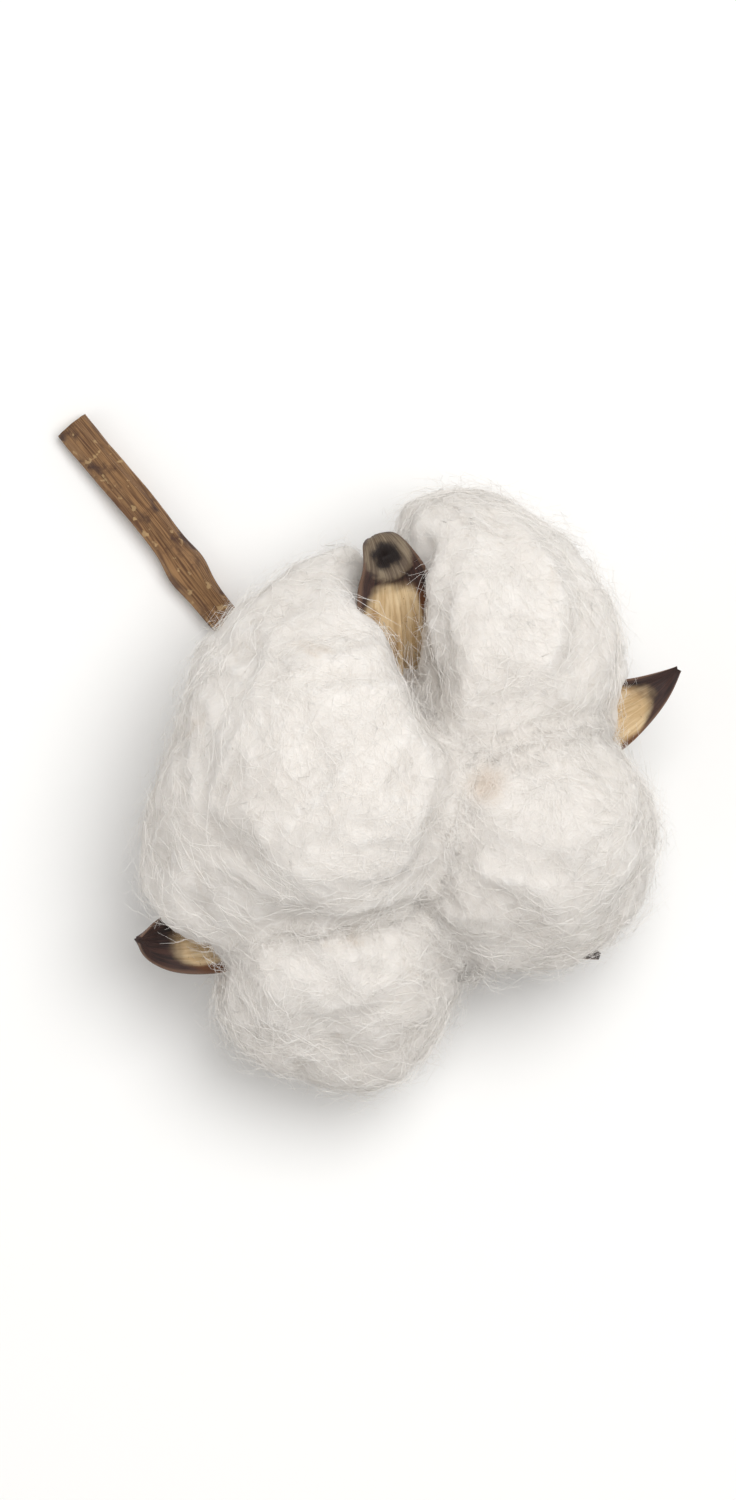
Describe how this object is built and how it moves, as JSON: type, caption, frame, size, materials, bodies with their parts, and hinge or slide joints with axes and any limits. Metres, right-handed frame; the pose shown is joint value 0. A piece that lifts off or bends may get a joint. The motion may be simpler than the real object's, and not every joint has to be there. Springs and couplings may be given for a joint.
{
  "type": "cotton boll",
  "caption": "Open cotton boll: soft white locks of lint held by a dry woody bur with pointed curling arms, on a short cut stem, lying mouth up.",
  "frame": {"origin": "on the resting plane, under the middle of the part's outline", "axes": "+Z up out of the mouth of the boll, +X to the right and +Y up as seen from above, the cut stem towards -X and +Y"},
  "size_m": [0.075, 0.0814, 0.0464],
  "materials": {
    "stem_bark": "matte dry bark",
    "calyx_paper": "matte dry papery skin",
    "bur_wood": "satin dry pod wall, straw inside and purple-brown outside",
    "lint": "soft fluffy fibre"
  },
  "bodies": {
    "root": {"stem": "stem_bark", "calyx": "calyx_paper", "bur": "bur_wood", "lock_left": "lint", "lock_upper": "lint", "lock_right": "lint", "lock_lower": "lint"}
  },
  "joints": []
}
